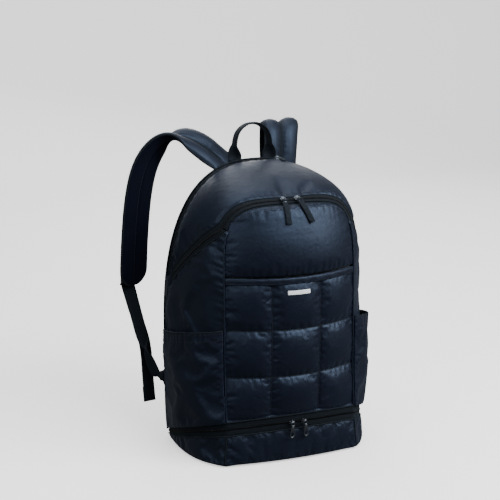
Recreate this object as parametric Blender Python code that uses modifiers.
"""A racket backpack, standing on its base.

Metres, +Z up. The origin is the centre of the base, on the floor. The wearer's back is towards +Y
and the quilted front towards -Y. The shell is sewn from panels of two surfaces: a band that runs
round the arch of the bag from one foot to the other, and a crowned front between the band's edges.
"""

import math

import bmesh
import bpy
import numpy as np
from mathutils import Matrix, Vector

# Driving dimensions of the bag.
BACK_Y = 0.100            # rear face of the back panel; depth is measured forward from it
BACK_THICK = 0.010
TOP_Z = 0.490
BACK_HALF = 0.168         # half width of the back outline
BACK_SHOULDER = 0.200     # height where the back outline starts to arch
BACK_POWER = 2.5          # squareness of that arch
FRONT_HALF = 0.117
FRONT_TOP = 0.444
FRONT_SHOULDER = 0.300
FRONT_POWER = 4.2
FOOT_FLARE = 0.006        # the front is this much wider at the floor
GAP = 0.0006              # kept between neighbouring panels

# Fabric and padding.
LINED = 0.0030
PADDED = 0.0055
TAPE = 0.0012
TAPE_SINK = 0.0012        # zip tape lies this far under the panels beside it
COIL_THICK = 0.0022
COIL_LIFT = 0.0002        # the coil's face stands this far over the panels

# The bottom zip lies in a plane that drops towards the back, where the base hinges.
BOTTOM_ZIP_BACK = 0.014
BOTTOM_ZIP_RISE = 0.350
BOTTOM_ZIP_WIDE = 0.023   # zip band at the front
BOTTOM_ZIP_NARROW = 0.010  # and at the back
BASE_HINGE = (0.006, 0.008)  # depth and height of the base's hinge line
BASE_RIM = 0.992          # the base's walls start this far down the arch, just over the floor

# The main zip lies in a steeper plane at the sides, then follows the top of the front.
MAIN_ZIP_BACK = 0.268
MAIN_ZIP_RISE = 0.870
MAIN_ZIP_WIDE = 0.019
MAIN_ZIP_HALF = 0.0115    # half the zip's width, as heights of its steep plane
MAIN_ZIP_CLEAR = 0.0125   # and where the panels beside it stop
MAIN_ZIP_SPARE = 0.045    # the tapes run this far, in arch share, past the plane's back end

# Shares across a zip band: rear tape, coil and front tape.
REAR_TAPE = (0.04, 0.34)
COIL_BAND = (0.41, 0.59)
FRONT_TAPE = (0.66, 0.96)

# Compartments.
POCKET_TOP = 0.325
FLAP_FOOT = 0.3315
POCKET_SLACK = 0.018      # gap between the front pocket and the panel behind it, at the middle
SIDE_POCKET_BACK = 0.197  # height of a side pocket's hem at the back
SIDE_POCKET_RISE = 0.230
SIDE_POCKET_PUFF = 0.012
RACKET_DEPTH = 0.048      # front of the racket compartment
FLOOR_Z = 0.105           # floor between the main and the shoe compartment
REAR_ZIP_DEPTH = 0.030
MOUTH_DEPTH = 0.052       # the rear zip stands open this far for a racket's handle
MOUTH = (0.08, 0.28)      # and from here to here along the arch, on the right
TOP_NARROWEST = 0.06      # the top panel ends where it is this narrow, as a share of the band

# Back pads: width, thickness and height, then the place of the right one's middle.
PAD_SIZE = (0.105, 0.011, 0.300)
PAD_PLACE = (0.068, 0.215)

# Sliders: length along the zip, width and height off the coil.
MAIN_SLIDER = (0.0100, 0.0085, 0.0050)
SMALL_SLIDER = (0.0100, 0.0080, 0.0045)
SLIDER_LIFT = 0.0008
MAIN_SLIDERS = (("left", -0.0134, -0.03), ("right", 0.0120, 0.42))   # x, and the pull's slant
BOTTOM_SLIDERS = (("left", -1, -0.0065), ("right", 1, 0.0160))
REAR_SLIDER_U = 0.062
REAR_SLIDER_DEPTH = 0.0235
SIDES = ((-1, "left"), (1, "right"))

# Straps and handle.
YOKE_FOOT = 0.415         # the yoke covers the straps' sewn ends from here up
YOKE_THICK = 0.004
STRAP_WIDE = 0.066
STRAP_THICK = 0.012
WEB_WIDE = 0.025
WEB_THICK = 0.0018
WEB_LOW = 0.108           # height where the lower webbing meets the bag
STRAP_RINGS = 24
TAB_SIZE = (0.040, 0.0018, 0.032)
HANDLE_SPAN = 0.064
HANDLE_RISE = 0.062
HANDLE_LEG = 0.022        # straight part of each leg
HANDLE_WIDE = 0.024
HANDLE_THICK = 0.0028
HANDLE_CENTRE = -0.003
HANDLE_TWIST = 0.16       # share of its length over which a leg turns a quarter

# Ladder lock: columns and rows of its plate, with the slots between rows 1 and 2 and rows 3 and 4.
LOCK_XS = (-0.0175, -0.0140, 0.0140, 0.0175)
LOCK_YS = (0, 0.0045, 0.0095, 0.0140, 0.0190, 0.0250)
LOCK_SLOTS = (1, 3)
LOCK_THICK = 0.0042
LOCK_OVERLAP = 0.026      # the lock lies this far up over the strap's end
LOCK_LIFT = 0.0035        # and stands this far off it

# Each strap, by side: centre lines of its pad, lower webbing and free tail, whose y is taken from
# the back panel's rear face, and the pad's width direction. The left strap is splayed out sideways
# and the right one hangs behind.
STRAP_SHAPES = {
    -1: {
        "pad": ((-0.058, 0.0220, 0.4915), (-0.0920, 0.026, 0.5185), (-0.1329, 0.032, 0.5350),
                (-0.1687, 0.034, 0.5123), (-0.1896, 0.035, 0.4755), (-0.2022, 0.035, 0.4124),
                (-0.2097, 0.033, 0.3314), (-0.2127, 0.031, 0.2750)),
        "web": ((-0.2036, 0.027, 0.1983), (-0.1905, 0.019, 0.1435),
                (-0.1790, 0.006, WEB_LOW + 0.003)),
        "tail": ((-0.1990, 0.043, 0.1950), (-0.1885, 0.038, 0.1400), (-0.1850, 0.034, 0.0560)),
        "across": (0.85, 0.53, 0),
    },
    1: {
        "pad": ((0.062, 0.0210, 0.4935), (0.066, 0.026, 0.5230), (0.070, 0.0400, 0.5450),
                (0.073, 0.062, 0.5460), (0.076, 0.080, 0.5200), (0.080, 0.087, 0.4700),
                (0.088, 0.084, 0.3700), (0.098, 0.074, 0.2750)),
        "web": ((0.1180, 0.060, 0.1950), (0.1450, 0.040, 0.1450),
                (0.1770, 0.0175, WEB_LOW + 0.003)),
        "tail": ((0.1080, 0.093, 0.1950), (0.1110, 0.090, 0.1400), (0.1120, 0.088, 0.0700)),
        "across": (0.98, 0.2, 0),
    },
}

# One ring of a padded strap, as shares of its half width and half thickness: two rounded ridges
# outside with a channel between them, and a nearly flat inside.
STRAP_RING = ((-1, -0.1), (-0.86, 0.75), (-0.50, 1.0), (-0.14, 0.80), (0, 0.30), (0.14, 0.80),
              (0.50, 1.0), (0.86, 0.75), (1, -0.1), (0.88, -0.85), (0.45, -1), (0, -0.85),
              (-0.45, -1), (-0.88, -0.85))

BAND_STEPS = 32           # steps along the top panel and its tapes

COLOURS = {
    "shell_fabric": ((0.020, 0.026, 0.040), 0.42, 0.0),
    "lining": ((0.030, 0.032, 0.036), 0.80, 0.0),
    "zip_tape": ((0.012, 0.014, 0.018), 0.85, 0.0),
    "zip_coil": ((0.010, 0.011, 0.013), 0.45, 0.0),
    "slider_metal": ((0.06, 0.07, 0.08), 0.28, 1.0),
    "webbing": ((0.014, 0.016, 0.021), 0.75, 0.0),
    "buckle_plastic": ((0.012, 0.012, 0.014), 0.38, 0.0),
    "mesh_foam": ((0.022, 0.024, 0.028), 0.90, 0.0),
    "board_plastic": ((0.05, 0.05, 0.055), 0.60, 0.0),
    "print_white": ((0.80, 0.81, 0.82), 0.50, 0.0),
}


def clear_scene():
    for obj in list(bpy.data.objects):
        bpy.data.objects.remove(obj)


def material(slot):
    if slot in bpy.data.materials:
        return bpy.data.materials[slot]
    colour, roughness, metallic = COLOURS[slot]
    made = bpy.data.materials.new(slot)
    made.use_nodes = True
    shader = made.node_tree.nodes["Principled BSDF"]
    shader.inputs["Base Color"].default_value = (*colour, 1)
    shader.inputs["Roughness"].default_value = roughness
    shader.inputs["Metallic"].default_value = metallic
    return made


def add_object(name, mesh, slot, origin=(0, 0, 0)):
    """Links a mesh as a node. Its origin is moved to its joint's axis, or stays at the world's."""
    origin = Vector(origin)
    for vertex in mesh.vertices:
        vertex.co -= origin
    obj = bpy.data.objects.new(name, mesh)
    obj.location = origin
    mesh.materials.append(material(slot))
    mesh.shade_smooth()
    mesh.set_sharp_from_angle(angle=math.radians(40))
    bpy.data.collections["racket_backpack"].objects.link(obj)
    return obj


# ---------------------------------------------------------------- surfaces of the bag

def half_arch(half, shoulder, top, power, flare):
    """Points (x, z) of a right half outline, from the floor to the apex, with running length."""
    turn = np.linspace(0, math.pi / 2, 240)
    x = half * np.cos(turn) ** (2 / power)
    z = shoulder + (top - shoulder) * np.sin(turn) ** (2 / power)
    foot = np.linspace(0, shoulder, 60, endpoint=False)
    foot_x = half + flare * np.clip(1 - foot / 0.09, 0, 1) ** 2
    x, z = np.concatenate([foot_x, x]), np.concatenate([foot, z])
    length = np.concatenate([[0], np.cumsum(np.hypot(np.diff(x), np.diff(z)))])
    return x, z, length / length[-1]


BACK_ARCH = half_arch(BACK_HALF, BACK_SHOULDER, TOP_Z, BACK_POWER, -0.004)
FRONT_ARCH = half_arch(FRONT_HALF, FRONT_SHOULDER, FRONT_TOP, FRONT_POWER, FOOT_FLARE)


def on_arch(arch, u):
    """(x, z) at u: -1 is the left foot, 0 the apex and 1 the right foot."""
    x, z, length = arch
    share = 1 - abs(u)
    return math.copysign(np.interp(share, length, x), u), float(np.interp(share, length, z))


def seam_depth(z):
    """Depth of the front seam at a height."""
    return float(np.interp(z, (0, 0.07, 0.15, 0.33, 0.42, FRONT_TOP),
                           (0.184, 0.181, 0.173, 0.170, 0.165, 0.175)))


def band_flat(u, w):
    """The band's surface: w runs from the back panel, 0, to the front seam, 1."""
    u, w = float(u), float(w)
    bx, bz = on_arch(BACK_ARCH, u)
    fx, fz = on_arch(FRONT_ARCH, u)
    depth = seam_depth(fz)
    step = 0.01
    ax, az = on_arch(BACK_ARCH, min(u + step, 1))
    cx, cz = on_arch(BACK_ARCH, max(u - step, -1))
    out = Vector((-(az - cz), 0, ax - cx)).normalized()
    lean = 0.022 + 0.020 * abs(out.x)
    back = Vector((bx, BACK_Y - BACK_THICK, bz))
    front = Vector((fx, BACK_Y - depth, fz))
    reach = depth - BACK_THICK
    first = back + out * 0.008 + Vector((0, -0.40 * reach, 0))
    second = front + out * lean + Vector((0, 0.21 * reach, 0))
    v = 1 - w
    return (v ** 3) * back + (3 * v * v * w) * first + (3 * v * w * w) * second + (w ** 3) * front


def band(u, w, lift=0.0):
    """A point of the band, raised outwards by lift."""
    u, w = float(u), float(w)
    if not lift:
        return band_flat(u, w)
    step = 0.004
    along = band_flat(min(u + step, 1), w) - band_flat(max(u - step, -1), w)
    across = band_flat(u, min(w + step, 1)) - band_flat(u, max(w - step, 0))
    return band_flat(u, w) + across.cross(along).normalized() * lift


def band_length(u):
    return (band_flat(u, 1) - band_flat(u, 0)).length


def front_half(z):
    """Half width of the front outline at a height."""
    x, height, _ = FRONT_ARCH
    return float(np.interp(z, height, x))


def front_crown(z):
    """How far the middle of the front stands ahead of its seams."""
    return float(np.interp(z, (0, 0.07, 0.15, 0.24, 0.33, 0.40, 0.42, 0.44, FRONT_TOP),
                           (0.010, 0.016, 0.033, 0.037, 0.036, 0.031, 0.025, 0.013, 0)))


def front(x, z, lift=0.0, slack=0.0):
    """A point of the crowned front, raised by lift, or set back by slack at its middle."""
    share = min(abs(x) / max(front_half(z), 1e-4), 1)
    depth = seam_depth(z) + (front_crown(z) - slack) * (1 - share * share)
    return Vector((x, BACK_Y - depth - lift, z))


# ---------------------------------------------------------------- zip lines

def bottom_zip_top(point):
    return BOTTOM_ZIP_BACK + BOTTOM_ZIP_RISE * (BACK_Y - point.y)


def bottom_zip_foot(point):
    share = (BACK_Y - point.y) / 0.19
    return bottom_zip_top(point) - BOTTOM_ZIP_NARROW - (BOTTOM_ZIP_WIDE - BOTTOM_ZIP_NARROW) * share


def main_zip(u, offset, reserve):
    """w of a main zip line: the steep plane moved by offset, stopping a reserve short of the seam."""
    limit = 1 - reserve / band_length(u)
    best = 0.0
    for w in np.linspace(0, 1, 120):
        point = band_flat(u, w)
        if point.z - MAIN_ZIP_BACK - MAIN_ZIP_RISE * (BACK_Y - point.y) - offset > 0:
            best = w
    return min(best, limit)


def u_of_height(arch, height):
    x, z, length = arch
    return 1 - float(np.interp(height, z, length))


def rise_to(w, line):
    """u, on the right, where the band at w reaches a height line, a function of the point."""
    low, high = 0.3, 1.0
    for _ in range(24):
        middle = (low + high) / 2
        point = band_flat(middle, w)
        if point.z > line(point):
            low = middle
        else:
            high = middle
    return low


def w_of_depth(u, depth):
    """w where the band has a depth."""
    low, high = 0.0, 1.0
    for _ in range(30):
        middle = (low + high) / 2
        if BACK_Y - band_flat(u, middle).y < depth:
            low = middle
        else:
            high = middle
    return low


# ---------------------------------------------------------------- builders

def grid_mesh(name, rows):
    """A mesh of quads over rows of points. Its faces point to the left of a row, seen along it."""
    mesh = bpy.data.meshes.new(name)
    across = len(rows[0])
    faces = []
    for i in range(len(rows) - 1):
        for j in range(across - 1):
            a = i * across + j
            faces.append((a, a + 1, a + across + 1, a + across))
    mesh.from_pydata([p for row in rows for p in row], [], faces)
    mesh.update()
    return mesh


def sheet(name, rows, thick, slot, origin=(0, 0, 0)):
    """A sewn panel: an open surface with Solidify behind it."""
    obj = add_object(name, grid_mesh(name, rows), slot, origin=origin)
    shell = obj.modifiers.new("thickness", "SOLIDIFY")
    shell.thickness = thick
    shell.offset = -1
    shell.use_even_offset = True
    return obj


def band_rows(us, w_low, w_high, steps, lift=0.0):
    """Rows of band points between two lines, each a function of u."""
    rows = []
    for u in us:
        low, high = w_low(u), w_high(u)
        ws = [low + (high - low) * j / steps for j in range(steps + 1)]
        rows.append([band(u, w, lift) for w in ws])
    return rows


def loft(name, rings, slot, origin=(0, 0, 0)):
    """A closed body through rings of points, with flat ends."""
    mesh = bpy.data.meshes.new(name)
    work = bmesh.new()
    made = [[work.verts.new(p) for p in ring] for ring in rings]
    count = len(rings[0])
    for one, two in zip(made, made[1:]):
        for j in range(count):
            k = (j + 1) % count
            work.faces.new((one[j], one[k], two[k], two[j]))
    work.faces.new(list(reversed(made[0])))
    work.faces.new(made[-1])
    bmesh.ops.recalc_face_normals(work, faces=work.faces)
    work.to_mesh(mesh)
    work.free()
    return add_object(name, mesh, slot, origin=origin)


def spline(points, count):
    """Evenly spread points of a smooth curve through the given ones (Catmull-Rom)."""
    points = [Vector(p) for p in points]
    ends = [2 * points[0] - points[1], *points, 2 * points[-1] - points[-2]]
    dense = []
    for i in range(1, len(ends) - 2):
        a, b, c, d = ends[i - 1:i + 3]
        for s in range(12):
            t = s / 12
            dense.append(0.5 * (2 * b + (c - a) * t + (2 * a - 5 * b + 4 * c - d) * t * t
                                + (3 * b - a - 3 * c + d) * t ** 3))
    dense.append(points[-1])
    run = np.concatenate([[0], np.cumsum([(q - p).length for p, q in zip(dense, dense[1:])])])
    spread = np.linspace(0, run[-1], count)
    table = np.array(dense)
    return [Vector([float(np.interp(s, run, table[:, i])) for i in range(3)]) for s in spread]


def section(half_wide, half_thick, round_off):
    """An eight-sided strip section, in (across, through) offsets."""
    a, b = half_wide - round_off, half_thick * 0.45
    return [(-a, -half_thick), (a, -half_thick), (half_wide, -b), (half_wide, b),
            (a, half_thick), (-a, half_thick), (-half_wide, b), (-half_wide, -b)]


def ribbon(name, path, sides, wide, thick, slot, origin=(0, 0, 0), taper=None):
    """A strap swept along path. sides give its width direction, taper its share of full width."""
    rings = []
    for i, point in enumerate(path):
        ahead = (path[min(i + 1, len(path) - 1)] - path[max(i - 1, 0)]).normalized()
        side = Vector(sides[i])
        side = (side - ahead * side.dot(ahead)).normalized()
        through = ahead.cross(side)
        share = taper(i / (len(path) - 1)) if taper else 1
        shape = section(wide / 2 * share, thick / 2, min(wide * 0.12, thick * 0.45) * share)
        rings.append([point + side * s + through * t for s, t in shape])
    return loft(name, rings, slot, origin)


def rounded_box(name, size, centre, bevel, slot, origin=(0, 0, 0), turn=None):
    """A box with rounded edges, turned by a matrix about its centre."""
    mesh = bpy.data.meshes.new(name)
    work = bmesh.new()
    bmesh.ops.create_cube(work, size=1)
    for vertex in work.verts:
        vertex.co = Vector([vertex.co[i] * size[i] for i in range(3)])
    bmesh.ops.bevel(work, geom=work.edges[:], offset=bevel, segments=1, affect="EDGES")
    for vertex in work.verts:
        if turn is not None:
            vertex.co = turn @ vertex.co
        vertex.co += Vector(centre)
    work.to_mesh(mesh)
    work.free()
    return add_object(name, mesh, slot, origin=origin)


def plate(name, outline, depth, thick, slot):
    """A flat panel in the X-Z plane: outline points (x, z), its rear face at depth."""
    mesh = bpy.data.meshes.new(name)
    work = bmesh.new()
    rear = [work.verts.new((x, BACK_Y - depth, z)) for x, z in outline]
    face = work.faces.new(rear)
    grown = bmesh.ops.extrude_face_region(work, geom=[face])
    for item in grown["geom"]:
        if isinstance(item, bmesh.types.BMVert):
            item.co.y -= thick
    bmesh.ops.recalc_face_normals(work, faces=work.faces)
    work.to_mesh(mesh)
    work.free()
    return add_object(name, mesh, slot)


def arch_outline(inset, foot, count=36):
    """The back outline moved in by inset and cut off at a foot height."""
    points = []
    last = 1 - float(np.interp(foot, BACK_ARCH[1], BACK_ARCH[2]))
    for i in range(count + 1):
        u = last * (2 * i / count - 1)
        x, z = on_arch(BACK_ARCH, u)
        ax, az = on_arch(BACK_ARCH, min(u + 0.01, 1))
        cx, cz = on_arch(BACK_ARCH, max(u - 0.01, -1))
        run = math.hypot(ax - cx, az - cz)
        points.append((x + (az - cz) / run * inset, z - (ax - cx) / run * inset))
    points[0] = (points[0][0], foot)
    points[-1] = (points[-1][0], foot)
    return points


# ---------------------------------------------------------------- back, divider and floor

def build_back():
    plate("back_panel", arch_outline(0.0015, 0.017), 0, BACK_THICK, "lining")
    across, height = PAD_PLACE
    for side, word in SIDES:
        centre = (side * across, BACK_Y + PAD_SIZE[1] / 2 + GAP, height)
        rounded_box(f"back_pad_{word}", PAD_SIZE, centre, 0.005, "mesh_foam")
    plate("racket_divider", arch_outline(0.011, FLOOR_Z + 0.006), RACKET_DEPTH, LINED, "lining")
    right = [band(rise_to(w, lambda p: FLOOR_Z), w, -LINED - 0.003)
             for w in np.linspace(0.30, 0.84, 6)]
    outline = [(-p.x, p.y) for p in right] + [(p.x, p.y) for p in reversed(right)]
    flat_sheet("compartment_floor", outline, FLOOR_Z, 0.002, "lining")
    plate("strap_yoke", arch_outline(0.004, YOKE_FOOT), -GAP - YOKE_THICK, YOKE_THICK, "webbing")


# ---------------------------------------------------------------- side and top panels

def flap_reach():
    """u where the main zip meets the front seam, at the flap's upper corners."""
    return next(u for u in np.linspace(0.6, 0, 121) if main_zip(u, -0.010, 0.0) > 0.985)


def panel_us(low, high, steps):
    return [low + (high - low) * i / steps for i in range(steps + 1)]


def rows_from(line, top_u, columns, count, low=0.006, high=0.990):
    """Right-hand band rows from a height line up to top_u, where the last row runs level."""
    ws = [low + (high - low) * j / columns for j in range(columns + 1)]
    feet = [rise_to(w, line) for w in ws]
    return [[band(foot + (top_u - foot) * i / count, w) for w, foot in zip(ws, feet)]
            for i in range(count + 1)]


def mirrored(rows, side):
    """Right-hand rows as they are, or moved to the left; both run so that they face outwards."""
    if side > 0:
        return [list(reversed(row)) for row in rows]
    return [[Vector((-p.x, p.y, p.z)) for p in row] for row in rows]


def build_gusset(side, word, corner):
    """The side panel: up to the racket zip's end the whole band, then only below the main zip."""
    columns, low, high = 6, 0.006, 0.990
    split = u_of_height(BACK_ARCH, MAIN_ZIP_BACK)
    rows = rows_from(lambda p: bottom_zip_top(p) + GAP, split, columns, 6, low, high)
    for u in panel_us(split, corner, 10)[1:]:
        start = max(main_zip(u, -MAIN_ZIP_CLEAR, 0.0), 0) + low
        rows.append([band(u, start + (high - start) * j / columns) for j in range(columns + 1)])
    sheet(f"gusset_{word}", mirrored(rows, side), LINED, "shell_fabric")


def mouth_bump(u):
    """Share of the way the racket mouth stands open at u."""
    low, high = MOUTH
    if not low < u < high:
        return 0.0
    return math.sin(math.pi * (u - low) / (high - low)) ** 0.6


def rear_edge(u):
    """w of the top panel's rear edge, along the racket zip."""
    return w_of_depth(u, REAR_ZIP_DEPTH + (MOUTH_DEPTH - REAR_ZIP_DEPTH) * mouth_bump(u))


def top_front(u):
    """w of the top panel's front edge, along the main zip."""
    return main_zip(abs(u), MAIN_ZIP_CLEAR, MAIN_ZIP_WIDE + 0.0005) - 0.004


def build_top():
    """The dome between the racket zip and the main zip, pointed at both lower ends."""
    ends = (u for u in np.linspace(0.35, 0.6, 101)
            if top_front(u) - rear_edge(-u) < TOP_NARROWEST)
    last = next(ends)
    us = panel_us(-last, last, BAND_STEPS)
    sheet("top_panel", band_rows(us, rear_edge, top_front, 6), LINED, "shell_fabric")
    back = band_rows(us, lambda u: 0.008, lambda u: w_of_depth(u, 0.0185), 1, -TAPE_SINK)
    sheet("rear_zip_tape_back", back, TAPE, "zip_tape")
    edge = band_rows(us, lambda u: rear_edge(u) - 0.040, lambda u: rear_edge(u) - 0.005, 1,
                     -TAPE_SINK)
    sheet("rear_zip_tape_front", edge, TAPE, "zip_tape")
    closed = panel_us(-last, MOUTH[0] - 0.02, 30)
    coil = band_rows(closed, lambda u: w_of_depth(u, 0.0195), lambda u: rear_edge(u) - 0.046, 1,
                     COIL_LIFT)
    sheet("rear_zip_coil", coil, COIL_THICK, "zip_coil")


# ---------------------------------------------------------------- main zip

def main_line(share):
    """A line within the main zip band: share 0 is its rear edge and 1 its front edge."""
    def line(u):
        rear = main_zip(abs(u), MAIN_ZIP_HALF, MAIN_ZIP_WIDE)
        ahead = main_zip(abs(u), -MAIN_ZIP_HALF, 0.0)
        return rear + (ahead - rear) * share
    return line


def main_tape(name, us, shares, origin=(0, 0, 0)):
    rows = band_rows(us, main_line(shares[0]), main_line(shares[1]), 1, -TAPE_SINK)
    sheet(name, rows, TAPE, "zip_tape", origin)


def main_coil(name, us, origin=(0, 0, 0)):
    rows = band_rows(us, main_line(COIL_BAND[0]), main_line(COIL_BAND[1]), 1, COIL_LIFT)
    sheet(name, rows, COIL_THICK, "zip_coil", origin)


def build_main_zip(corner, flap_origin):
    """One rear tape from end to end, and in front of it a tape and coil down each side and across
    the flap."""
    end = u_of_height(BACK_ARCH, MAIN_ZIP_BACK) - MAIN_ZIP_SPARE
    apart = 0.004
    main_tape("main_zip_tape_rear", panel_us(-end, end, 44), REAR_TAPE)
    for side, word in SIDES:
        us = panel_us(*sorted((side * end, side * (corner + apart))), 14)
        main_tape(f"main_zip_tape_{word}", us, FRONT_TAPE)
        main_coil(f"main_zip_coil_{word}", us)
    us = panel_us(-corner + apart, corner - apart, 24)
    main_tape("main_zip_tape_front", us, FRONT_TAPE, flap_origin)
    main_coil("main_zip_coil_front", us, flap_origin)


# ---------------------------------------------------------------- front

def front_rows(low, high, columns, rows, edge, lift=0.0, slack=0.0):
    """Rows of the front between two heights, each a function of a, which runs from -edge to edge
    as a share of the front's half width."""
    made = []
    for i in range(rows + 1):
        row = []
        for j in range(columns + 1):
            a = edge * (2 * j / columns - 1)
            z = low(a) + (high(a) - low(a)) * i / rows
            x = a * front_half(min(z, 0.42))
            row.append(front(x, z, lift, slack))
        made.append(row)
    return made


def flap_top(a):
    """Height of the front outline over column a, just under the seam."""
    x, z, _ = FRONT_ARCH
    target = abs(a) * front_half(0.42)
    return float(np.interp(-target, -x[60:], z[60:])) - 0.0020


def zip_height(a, line):
    """Height of a bottom zip line where it crosses column a of the front."""
    z = 0.05
    for _ in range(8):
        z = line(front(a * front_half(z), z))
    return z


def build_front(flap_origin):
    """The pocket, the flap over its hem, the panel behind the pocket and the pocket's mark."""
    foot = lambda a: zip_height(a, bottom_zip_top) + GAP
    lower = front_rows(foot, lambda a: FLAP_FOOT - 0.003, 10, 6, 0.975, -PADDED - 0.0012,
                       POCKET_SLACK)
    sheet("front_panel_lower", lower, 0.0018, "lining")
    pocket = front_rows(foot, lambda a: POCKET_TOP, 12, 9, 0.990)
    sheet("front_pocket", pocket, PADDED, "shell_fabric")
    flap = front_rows(lambda a: FLAP_FOOT, flap_top, 14, 6, 0.985)
    sheet("front_flap_panel", flap, PADDED, "shell_fabric", flap_origin)
    spot = front(0, POCKET_TOP - 0.024, 0.0008)
    rounded_box("badge", (0.040, 0.0008, 0.007), spot, 0.0002, "print_white")


# ---------------------------------------------------------------- side pockets

def build_side_pocket(side, word):
    """A pocket that puffs out from its sides and foot, and is open at its hem."""
    low, high, columns, count = 0.03, 0.985, 8, 7
    ends = []
    for j in range(columns + 1):
        w = low + (high - low) * j / columns
        foot = rise_to(w, lambda p: bottom_zip_top(p) + GAP)
        ends.append((w, foot, rise_to(w, pocket_hem)))
    rows = []
    for i in range(count + 1):
        rise = i / count
        row = []
        for j, (w, foot, top) in enumerate(ends):
            puff = SIDE_POCKET_PUFF * math.sin(math.pi * j / columns) ** 0.7
            puff *= min(1, 0.15 + 1.7 * rise)
            row.append(band(foot + (top - foot) * rise, w, LINED + 0.0008 + puff))
        rows.append(row)
    sheet(f"side_pocket_{word}", mirrored(rows, side), LINED, "shell_fabric")


def pocket_hem(p):
    """Height of a side pocket's hem, which rises to the front."""
    return SIDE_POCKET_BACK + SIDE_POCKET_RISE * (BACK_Y - p.y)


# ---------------------------------------------------------------- base

def base_line(p):
    return bottom_zip_foot(p) - GAP


def build_base():
    """The lower compartment: walls under the bottom zip, a floor and its stiffening board."""
    depth, height = BASE_HINGE
    origin = (0, BACK_Y - depth, height)
    low, high, columns = 0.05, 0.994, 10
    for side, word in SIDES:
        ws = [low + (high - low) * j / columns for j in range(columns + 1)]
        tops = [min(rise_to(w, base_line), BASE_RIM - 0.008) for w in ws]
        rows = [[band(BASE_RIM + (top - BASE_RIM) * i / 3, w) for w, top in zip(ws, tops)]
                for i in range(4)]
        sheet(f"base_side_{word}", mirrored(rows, side), LINED, "shell_fabric", origin)
    front_wall = front_rows(lambda a: 0.004, lambda a: zip_height(a, base_line), 12, 3, 0.992)
    sheet("base_front", front_wall, LINED, "shell_fabric", origin)
    bottom_strip("bottom_zip_tape_lower", 0.03, 0.38, -TAPE_SINK, TAPE, "zip_tape", origin)
    bottom_strip("bottom_zip_coil", 0.42, 0.58, COIL_LIFT, COIL_THICK, "zip_coil", origin)
    bottom_strip("bottom_zip_tape_upper", 0.62, 0.97, -TAPE_SINK, TAPE, "zip_tape")
    build_base_floor(origin)


def bottom_line(share):
    """A height line within the bottom zip: share 0 is its foot and 1 its top edge."""
    return lambda p: bottom_zip_foot(p) + (bottom_zip_top(p) - bottom_zip_foot(p)) * share


def bottom_strip(name, low, high, lift, thick, slot, origin=(0, 0, 0)):
    """A strip of the bottom zip, from one back corner round the front to the other."""
    rows = []
    for share in (low, high):
        line = bottom_line(share)
        side_run = [band(rise_to(w, line), w, lift) for w in np.linspace(0.06, 0.965, 10)]
        ahead = []
        for a in np.linspace(-0.98, 0.98, 13).tolist():
            z = zip_height(a, line)
            ahead.append(front(a * front_half(z), z, lift))
        left = [Vector((-p.x, p.y, p.z)) for p in side_run]
        rows.append(left + ahead + list(reversed(side_run)))
    sheet(name, rows, thick, slot, origin)


def build_base_floor(origin):
    """The base's floor, cut to the walls' outline, and the smaller board that lies on it."""
    right = [band_flat(1, w) for w in np.linspace(0.03, 1, 12)]
    centre_y = sum(p.y for p in right) / len(right)
    outline = [(-p.x, p.y) for p in right] + [(p.x, p.y) for p in reversed(right)]
    inner = [(x * 0.974, centre_y + (y - centre_y) * 0.953) for x, y in outline]
    flat_sheet("base_floor", inner, 0, 0.0028, "shell_fabric", origin)
    board = [(x * 0.93, centre_y + (y - centre_y) * 0.91) for x, y in inner]
    flat_sheet("base_board", board, 0.0028 + GAP, 0.0025, "board_plastic", origin)


def flat_sheet(name, outline, z, thick, slot, origin=(0, 0, 0)):
    """A level sheet inside an outline of (x, y) points, its underside at z."""
    mesh = bpy.data.meshes.new(name)
    work = bmesh.new()
    face = work.faces.new([work.verts.new((x, y, z)) for x, y in outline])
    grown = bmesh.ops.extrude_face_region(work, geom=[face])
    for item in grown["geom"]:
        if isinstance(item, bmesh.types.BMVert):
            item.co.z += thick
    bmesh.ops.recalc_face_normals(work, faces=work.faces)
    work.to_mesh(mesh)
    work.free()
    return add_object(name, mesh, slot, origin=origin)


# ---------------------------------------------------------------- sliders and pulls

def build_slider(name, seat, outward, along, size, lift=SLIDER_LIFT):
    """A zip slider over its seat on the coil, lying along the zip."""
    up = outward.normalized()
    run = (along - up * along.dot(up)).normalized()
    across = up.cross(run)
    turn = Matrix((run, across, up)).transposed()
    centre = seat + up * (lift + size[2] / 2)
    rounded_box(name, size, centre, 0.0012, "slider_metal", tuple(seat), turn)


def build_pull(name, path, side, wide, thick, slot):
    """A pull hanging from its slider; its hinge is at the path's first point."""
    taper = lambda t: min(1, 0.62 + 3.0 * t)
    ribbon(name, path, [side] * len(path), wide, thick, slot, tuple(path[0]), taper)


def build_main_pulls():
    """The main zip's two sliders, and their fabric pulls, which hang over the flap."""
    steps, drop_each = 7, 0.0055
    for word, x, slant in MAIN_SLIDERS:
        u = float(np.interp(abs(x), FRONT_ARCH[0][::-1], 1 - FRONT_ARCH[2][::-1]))
        u = math.copysign(u, x)
        w = main_line(0.5)(u)
        seat = band(u, w, COIL_LIFT)
        outward = band(u, w, 0.01) - band(u, w)
        build_slider(f"main_slider_{word}", seat, outward, Vector((1, 0, 0)), MAIN_SLIDER)
        start = seat + outward.normalized() * (SLIDER_LIFT + MAIN_SLIDER[2] + 0.0012)
        ahead = start + Vector((0, -0.0055, -0.0022))
        drops = [drop_each * i for i in range(1, steps + 1)]
        hanging = [front(x + slant * drop, ahead.z - drop, 0.0040) for drop in drops]
        path = spline([start, ahead, *hanging], 9)
        build_pull(f"main_pull_{word}", path, (1, 0, 0), 0.010, 0.0018, "webbing")


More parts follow.
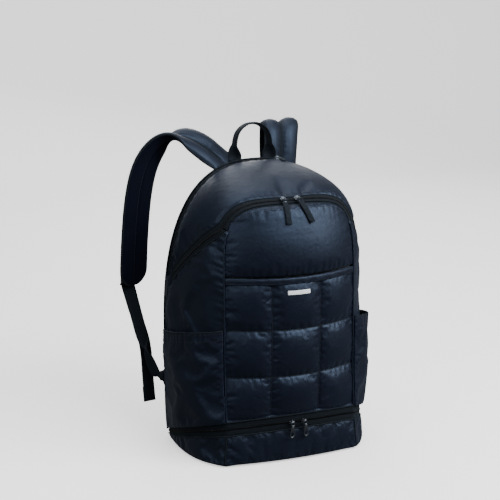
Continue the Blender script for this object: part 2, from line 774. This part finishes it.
def build_bottom_pulls():
    """The bottom zip's two sliders and their metal pulls, which hang over the base."""
    for word, way, x in BOTTOM_SLIDERS:
        z = zip_height(x / front_half(0.06), bottom_line(0.5))
        seat = front(x, z, COIL_LIFT)
        build_slider(f"bottom_slider_{word}", seat, Vector((0, -1, 0.1)), Vector((1, 0, 0)),
                     SMALL_SLIDER)
        start = seat + Vector((0, -(SLIDER_LIFT + SMALL_SLIDER[2] + 0.0011), 0.001))
        path = [start + Vector((0.0004 * i * way, 0.0, -0.0056 * i)) for i in range(6)]
        build_pull(f"bottom_pull_{word}", path, (1, 0, 0), 0.0085, 0.0016, "slider_metal")


def build_rear_pull():
    """The racket zip's slider, drawn back to the mouth, and its pull, lying on the top panel."""
    u = REAR_SLIDER_U
    w = w_of_depth(u, REAR_SLIDER_DEPTH)
    seat = band(u, w, 0.0004)
    outward = band(u, w, 0.01) - band(u, w)
    build_slider("rear_slider", seat, outward, Vector((1, 0, -0.1)), SMALL_SLIDER, 0.0014)
    depths = [REAR_SLIDER_DEPTH + 0.0075 + 0.0050 * i for i in range(6)]
    path = [band(u, w_of_depth(u, depth), 0.0052) for depth in depths]
    build_pull("rear_pull", path, (1, 0, 0), 0.0080, 0.0016, "webbing")


# ---------------------------------------------------------------- handle and straps

def arch_height(x):
    """Height of the back outline over x."""
    return float(np.interp(-abs(x), -BACK_ARCH[0][60:], BACK_ARCH[1][60:]))


def build_handle():
    """A loop of webbing. Its feet are sewn flat along the back seam, and its legs turn a quarter so
    that its top lies level across the hand."""
    half = HANDLE_SPAN / 2
    y = BACK_Y - BACK_THICK / 2
    left, right = (Vector((x, y, arch_height(x) + 0.0022))
                   for x in (HANDLE_CENTRE - half, HANDLE_CENTRE + half))
    bow_foot = max(left.z, right.z) + HANDLE_LEG + 0.002
    bow_rise = HANDLE_RISE - HANDLE_LEG - 0.002
    shape = [left, left + Vector((-0.001, 0, HANDLE_LEG))]
    for i in range(1, 8):
        turn = math.pi * i / 8
        shape.append(Vector((HANDLE_CENTRE - half * math.cos(turn), y,
                             bow_foot + bow_rise * math.sin(turn) ** 0.85)))
    shape += [right + Vector((0.001, 0, HANDLE_LEG)), right]
    path = spline(shape, 23)
    sides = []
    for i in range(len(path)):
        t = i / (len(path) - 1)
        angle = math.pi / 2 * min(1, min(t, 1 - t) / HANDLE_TWIST)
        way = 1 if i < len(path) // 2 else -1
        sides.append((way * math.cos(angle), math.sin(angle), 0))
    origin = (HANDLE_CENTRE, y, (left.z + right.z) / 2)
    ribbon("grab_handle", path, sides, HANDLE_WIDE, HANDLE_THICK, "webbing", origin)


def strap_line(side, part):
    """One of a strap's centre lines, in the part's frame."""
    return [Vector((x, BACK_Y + y, z)) for x, y, z in STRAP_SHAPES[side][part]]


def strap_ring(point, ahead, across, share):
    """One ring of a padded strap, its width a share of the full one."""
    side = (across - ahead * across.dot(ahead)).normalized()
    outer = side.cross(ahead)
    half, rise = STRAP_WIDE / 2, STRAP_THICK / 2
    return [point + side * (half * share * a) + outer * (rise * b) for a, b in STRAP_RING]


def build_strap(side, word):
    """A padded strap with its ladder lock, lower webbing and free tail. The strap and the lower
    webbing swing about the line between their sewn ends, so both have their origin at its foot."""
    across = Vector(STRAP_SHAPES[side]["across"])
    anchor = (side * (BACK_HALF + 0.009), BACK_Y + 0.005, WEB_LOW)
    path = spline(strap_line(side, "pad"), STRAP_RINGS)
    rings = []
    for i, point in enumerate(path):
        t = i / (len(path) - 1)
        ahead = (path[min(i + 1, len(path) - 1)] - path[max(i - 1, 0)]).normalized()
        round_end = math.sqrt(max(1 - (max(t - 0.93, 0) / 0.078) ** 2, 0.05))
        rings.append(strap_ring(point, ahead, across, round_end))
    loft(f"strap_{word}", rings, "mesh_foam", anchor)
    down = (path[-1] - path[-2]).normalized()
    side_way = (across - down * across.dot(down)).normalized()
    outer = side_way.cross(down)
    lock_at = path[-1] + outer * (STRAP_THICK / 2 + LOCK_LIFT) - down * LOCK_OVERLAP
    build_lock(f"ladder_lock_{word}", lock_at, side_way, down, outer)
    web = spline([lock_at + down * 0.0285 + outer * 0.001, *strap_line(side, "web")], 12)
    turned = [across.lerp(Vector((side * 0.3, 0.9, 0)), t ** 2)
              for t in np.linspace(0, 1, len(web)).tolist()]
    ribbon(f"lower_webbing_{word}", web, turned, WEB_WIDE, WEB_THICK, "webbing", anchor)
    tail = spline([lock_at + down * 0.0275 + outer * 0.0085, *strap_line(side, "tail")], 14)
    ribbon(f"webbing_tail_{word}", tail, [across] * len(tail), WEB_WIDE * 0.92, WEB_THICK,
           "webbing", tuple(tail[0]))
    tab_at = (side * (BACK_HALF - 0.017), BACK_Y + GAP + TAB_SIZE[1] / 2, WEB_LOW)
    rounded_box(f"anchor_tab_{word}", TAB_SIZE, tab_at, 0.0006, "webbing")


def build_lock(name, at, side_way, down, outer):
    """A ladder lock: a plate with two slots for the webbing, hinged at its upper bar."""
    mesh = bpy.data.meshes.new(name)
    work = bmesh.new()
    grid = [[work.verts.new(at + side_way * x + down * y) for x in LOCK_XS] for y in LOCK_YS]
    cells = []
    for i in range(len(LOCK_YS) - 1):
        for j in range(len(LOCK_XS) - 1):
            if j == 1 and i in LOCK_SLOTS:
                continue
            corners = (grid[i][j], grid[i][j + 1], grid[i + 1][j + 1], grid[i + 1][j])
            cells.append(work.faces.new(corners))
    grown = bmesh.ops.extrude_face_region(work, geom=cells)
    for item in grown["geom"]:
        if isinstance(item, bmesh.types.BMVert):
            item.co += outer * LOCK_THICK
    bmesh.ops.recalc_face_normals(work, faces=work.faces)
    work.to_mesh(mesh)
    work.free()
    add_object(name, mesh, "buckle_plastic", origin=tuple(at))


def main():
    clear_scene()
    home = bpy.data.collections.new("racket_backpack")
    bpy.context.scene.collection.children.link(home)
    flap_origin = tuple(front(0, FLAP_FOOT))
    corner = flap_reach()
    build_back()
    for side, word in SIDES:
        build_gusset(side, word, corner)
        build_side_pocket(side, word)
    build_top()
    build_main_zip(corner, flap_origin)
    build_front(flap_origin)
    build_base()
    build_main_pulls()
    build_bottom_pulls()
    build_rear_pull()
    build_handle()
    for side, word in SIDES:
        build_strap(side, word)


main()
